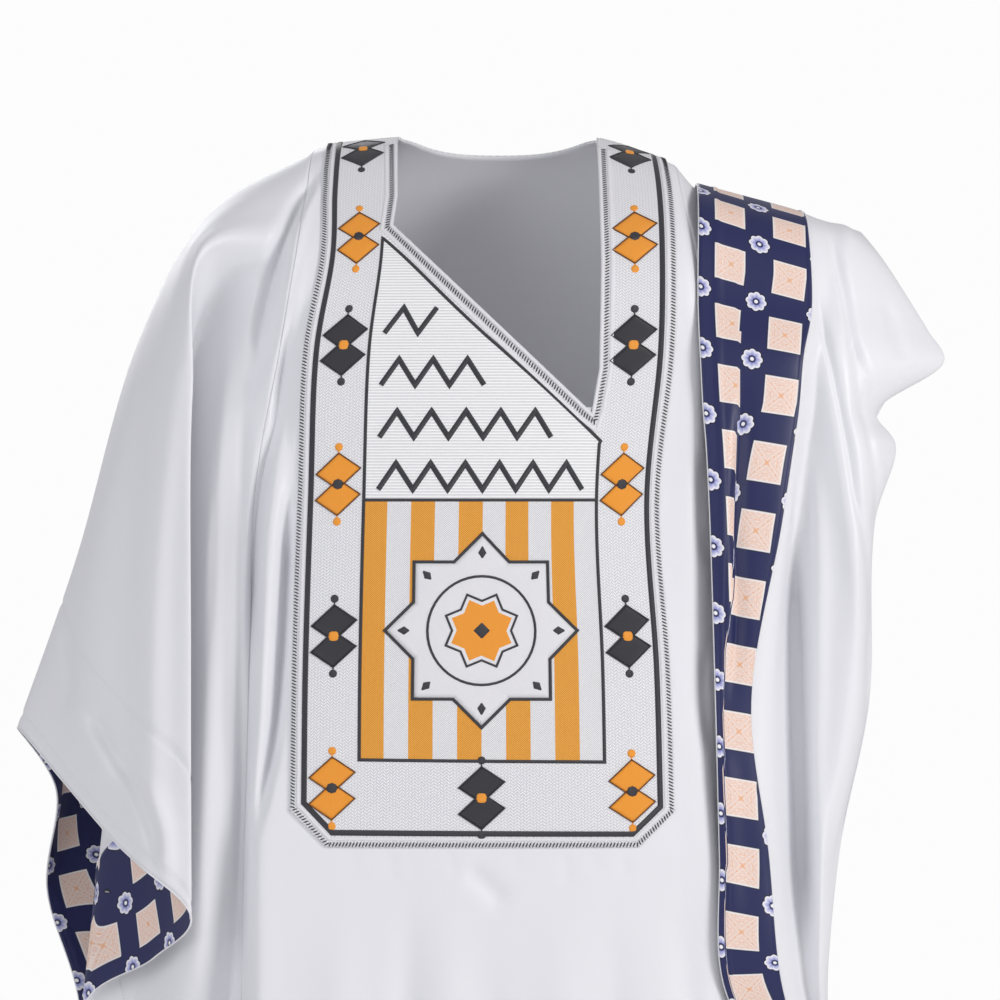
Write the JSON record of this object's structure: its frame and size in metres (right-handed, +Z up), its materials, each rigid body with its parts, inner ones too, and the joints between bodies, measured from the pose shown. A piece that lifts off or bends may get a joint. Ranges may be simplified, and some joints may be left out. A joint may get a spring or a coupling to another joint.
{
  "type": "wide-sleeved embroidered robe",
  "caption": "Long white satin robe with wide sleeves, one hanging and one folded onto the shoulder, an embroidered chest panel and printed sleeve facings.",
  "frame": {"origin": "middle of the shoulder line, under the cloth, where the wearer's shoulders hold the robe", "axes": "+Z up, +X to the wearer's left, -Y to the front"},
  "size_m": [0.7376, 0.324, 1.1523],
  "materials": {
    "satin": "smooth white satin with a soft sheen",
    "printed_facing": "satin printed navy with pale squares and small flowers",
    "embroidery": "dense thread embroidery, white ground with black and orange"
  },
  "bodies": {
    "root": {"front": "satin", "back": "satin", "sleeve_right": "satin", "sleeve_left": "satin", "facing_right": "printed_facing", "facing_left": "printed_facing", "bib": "embroidery", "neck_band": "embroidery"}
  },
  "joints": []
}
